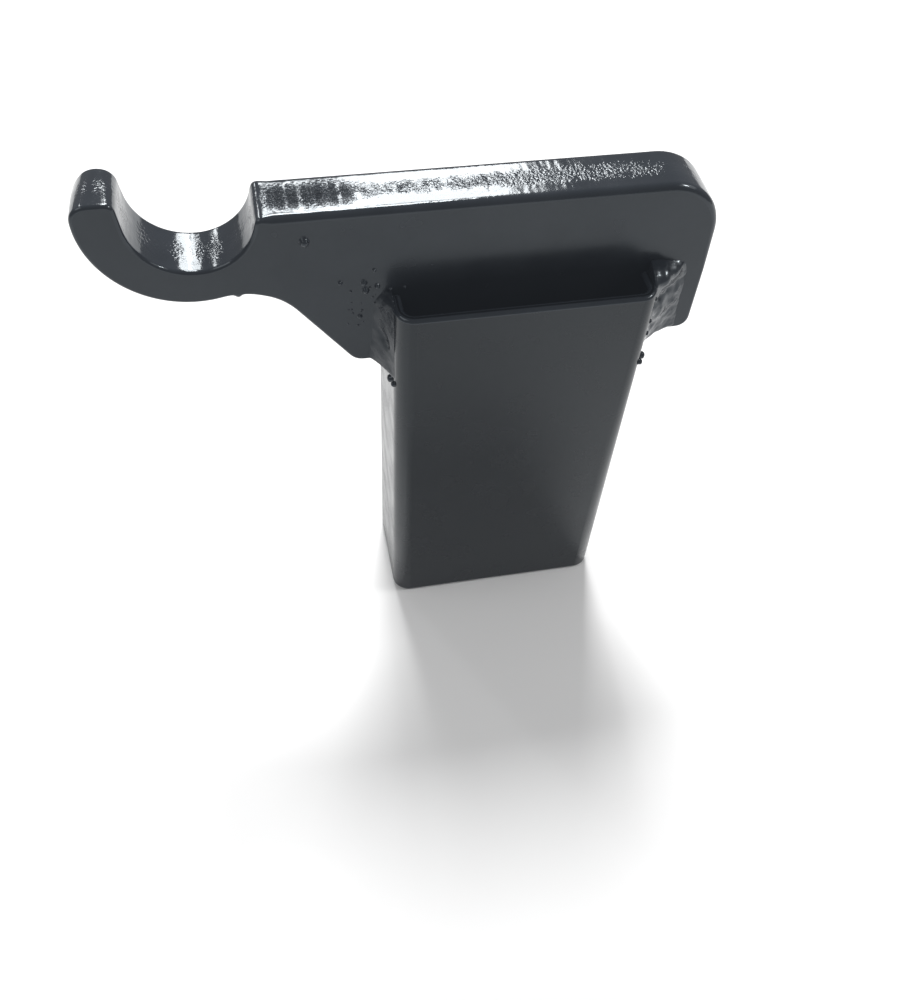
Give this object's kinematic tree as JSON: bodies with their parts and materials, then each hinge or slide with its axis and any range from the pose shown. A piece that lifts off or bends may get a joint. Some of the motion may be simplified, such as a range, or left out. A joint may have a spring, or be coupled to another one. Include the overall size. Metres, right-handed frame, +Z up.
{
  "type": "quick coupler",
  "caption": "Black welded quick coupler: a thick hook plate with an upward-open round seat, let into the top of an upright rectangular tube.",
  "frame": {"origin": "on the axis of the round bar that the hook takes, at the middle of the plate's thickness", "axes": "+X along the plate from the hook to the tube, +Y through the plate's thickness away from the front of the tube, +Z up along the tube"},
  "size_m": [0.181, 0.04, 0.1827],
  "materials": {
    "plate_paint": "glossy black enamel over flame-cut steel plate, with slightly rough cut edges",
    "tube_paint": "glossy black enamel over smooth cold-formed tube",
    "weld_paint": "glossy black enamel over rippled weld beads",
    "spatter_paint": "glossy black enamel over small round weld spatter"
  },
  "bodies": {
    "root": {"hook_plate": "plate_paint", "post_tube": "tube_paint", "weld_front_left": "weld_paint", "weld_front_right": "weld_paint", "weld_back_left": "weld_paint", "weld_back_right": "weld_paint", "weld_under_left": "weld_paint", "weld_under_right": "weld_paint", "weld_spatter": "spatter_paint"}
  },
  "joints": []
}
